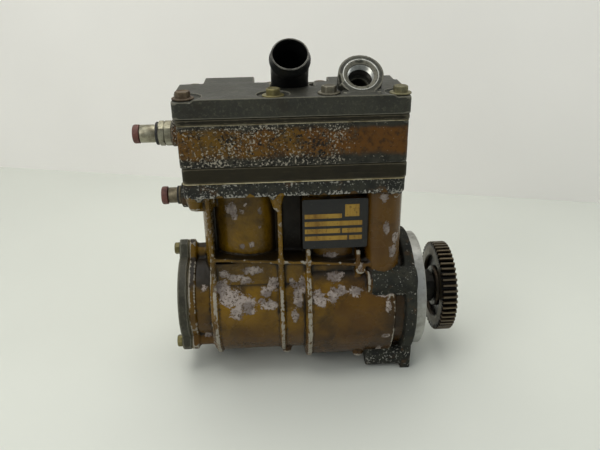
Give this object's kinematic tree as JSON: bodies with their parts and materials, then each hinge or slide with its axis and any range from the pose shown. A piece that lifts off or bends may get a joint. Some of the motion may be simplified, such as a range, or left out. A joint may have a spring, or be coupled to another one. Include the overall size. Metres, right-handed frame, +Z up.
{
  "type": "reciprocating air compressor",
  "caption": "Water-cooled reciprocating air compressor with upright cylinders, a stacked head, hose inlet, threaded outlet and a gear-driven crankshaft.",
  "frame": {"origin": "on the floor under the middle of the bounding box, straight below the crankshaft axis", "axes": "+X along the crankshaft towards the drive gear, +Y from the data-plate side to the back, +Z up along the cylinders"},
  "size_m": [0.3389, 0.1504, 0.3669],
  "materials": {
    "ochre_paint": "worn ochre paint over primer on a casting",
    "corroded_casting": "corroded painted casting with pale specks",
    "dark_alloy": "dull dark oxidised alloy",
    "brown_alloy": "smooth brown-black alloy",
    "gasket_paper": "pale fibre gasket",
    "black_steel": "satin black steel",
    "zinc_plate": "yellow zinc plated, dulled",
    "machined_steel": "machined steel",
    "gear_steel": "dark oiled gear steel",
    "bright_alloy": "bright machined alloy",
    "bearing_bronze": "bearing bronze",
    "red_brown_cap": "red-brown moulded plastic",
    "label_black": "black plate with plain gold fields and no text"
  },
  "bodies": {
    "housing": {"crankcase_block": "ochre_paint", "head_body": "corroded_casting", "intermediate_plate": "dark_alloy", "head_cover": "dark_alloy", "end_cover": "dark_alloy", "valve_plate": "brown_alloy", "head_gasket": "gasket_paper", "cover_gasket": "gasket_paper", "end_cover_gasket": "gasket_paper", "inlet_pipe": "black_steel", "head_bolt_front_1": "zinc_plate", "head_bolt_front_2": "zinc_plate", "head_bolt_front_3": "zinc_plate", "head_bolt_front_4": "zinc_plate", "head_bolt_rear_1": "zinc_plate", "head_bolt_rear_2": "zinc_plate", "head_bolt_rear_3": "zinc_plate", "head_bolt_rear_4": "zinc_plate", "end_cover_bolt_1": "zinc_plate", "end_cover_bolt_2": "zinc_plate", "end_cover_bolt_3": "zinc_plate", "cylinder_liner_1": "machined_steel", "cylinder_liner_2": "machined_steel", "bearing_carrier": "bright_alloy", "coolant_fitting_upper": "bright_alloy", "coolant_fitting_lower": "bright_alloy", "main_bearing_front": "bearing_bronze", "main_bearing_rear": "bearing_bronze", "plug_cap_upper": "red_brown_cap", "plug_cap_lower": "red_brown_cap", "data_plate": "label_black"},
    "crank_train": {"crankshaft": "machined_steel", "drive_gear": "gear_steel", "gear_key": "machined_steel", "gear_nut": "machined_steel"},
    "rod_1": {"connecting_rod_1": "machined_steel", "rod_cap_1": "machined_steel", "rod_bolt_1_front": "black_steel", "rod_bolt_1_rear": "black_steel"},
    "bush_1": {"small_end_bush_1": "bearing_bronze"},
    "wrist_pin_1": {"wrist_pin_1_left": "machined_steel", "wrist_pin_1_right": "machined_steel"},
    "piston_group_1": {"piston_1": "bright_alloy", "piston_ring_1_upper": "black_steel", "piston_ring_1_lower": "black_steel"},
    "rod_2": {"connecting_rod_2": "machined_steel", "rod_cap_2": "machined_steel", "rod_bolt_2_front": "black_steel", "rod_bolt_2_rear": "black_steel"},
    "bush_2": {"small_end_bush_2": "bearing_bronze"},
    "wrist_pin_2": {"wrist_pin_2_left": "machined_steel", "wrist_pin_2_right": "machined_steel"},
    "piston_group_2": {"piston_2": "bright_alloy", "piston_ring_2_upper": "black_steel", "piston_ring_2_lower": "black_steel"},
    "intake_reed_1_body": {"intake_reed_1": "machined_steel"},
    "delivery_reed_1_body": {"delivery_reed_1": "machined_steel"},
    "intake_reed_2_body": {"intake_reed_2": "machined_steel"},
    "delivery_reed_2_body": {"delivery_reed_2": "machined_steel"}
  },
  "joints": [
    {"name": "crank_spin", "type": "hinge", "parent": "housing", "child": "crank_train", "pos_m": [-0.015, 0, 0.077], "axis": [1, 0, 0], "continuous": true},
    {"name": "crankpin_turn_1", "type": "hinge", "parent": "crank_train", "child": "rod_1", "pos_m": [-0.067, 0, 0.095], "axis": [1, 0, 0], "continuous": true},
    {"name": "small_end_turn_1", "type": "hinge", "parent": "rod_1", "child": "bush_1", "pos_m": [-0.067, 0, 0.203], "axis": [1, 0, 0], "continuous": true},
    {"name": "pin_swing_1", "type": "hinge", "parent": "bush_1", "child": "wrist_pin_1", "pos_m": [-0.067, 0, 0.194], "axis": [1, 0, 0], "continuous": true},
    {"name": "piston_hold_1", "type": "hinge", "parent": "wrist_pin_1", "child": "piston_group_1", "pos_m": [-0.067, 0, 0.203], "axis": [1, 0, 0], "continuous": true},
    {"name": "crankpin_turn_2", "type": "hinge", "parent": "crank_train", "child": "rod_2", "pos_m": [0.027, 0, 0.059], "axis": [1, 0, 0], "continuous": true},
    {"name": "small_end_turn_2", "type": "hinge", "parent": "rod_2", "child": "bush_2", "pos_m": [0.027, 0, 0.167], "axis": [1, 0, 0], "continuous": true},
    {"name": "pin_swing_2", "type": "hinge", "parent": "bush_2", "child": "wrist_pin_2", "pos_m": [0.027, 0, 0.176], "axis": [1, 0, 0], "continuous": true},
    {"name": "piston_hold_2", "type": "hinge", "parent": "wrist_pin_2", "child": "piston_group_2", "pos_m": [0.027, 0, 0.167], "axis": [1, 0, 0], "continuous": true},
    {"name": "intake_reed_lift_1", "type": "hinge", "parent": "housing", "child": "intake_reed_1_body", "pos_m": [-0.0855, 0.015, 0.2418], "axis": [0, 1, 0], "range_deg": [0, 3], "stiffness_Nm_per_rad": 0.5},
    {"name": "delivery_reed_lift_1", "type": "hinge", "parent": "housing", "child": "delivery_reed_1_body", "pos_m": [-0.0855, -0.015, 0.2504], "axis": [0, -1, 0], "range_deg": [0, 3], "stiffness_Nm_per_rad": 0.5},
    {"name": "intake_reed_lift_2", "type": "hinge", "parent": "housing", "child": "intake_reed_2_body", "pos_m": [0.0085, 0.015, 0.2418], "axis": [0, 1, 0], "range_deg": [0, 3], "stiffness_Nm_per_rad": 0.5},
    {"name": "delivery_reed_lift_2", "type": "hinge", "parent": "housing", "child": "delivery_reed_2_body", "pos_m": [0.0085, -0.015, 0.2504], "axis": [0, -1, 0], "range_deg": [0, 3], "stiffness_Nm_per_rad": 0.5}
  ],
  "couplings": [
    {"joint": "crankpin_turn_1", "follows": "crank_spin", "ratio": -1},
    {"joint": "small_end_turn_1", "follows": "crank_spin", "ratio": 1},
    {"joint": "pin_swing_1", "follows": "crank_spin", "ratio": -2},
    {"joint": "piston_hold_1", "follows": "crank_spin", "ratio": 1},
    {"joint": "crankpin_turn_2", "follows": "crank_spin", "ratio": -1},
    {"joint": "small_end_turn_2", "follows": "crank_spin", "ratio": 1},
    {"joint": "pin_swing_2", "follows": "crank_spin", "ratio": -2},
    {"joint": "piston_hold_2", "follows": "crank_spin", "ratio": 1}
  ]
}
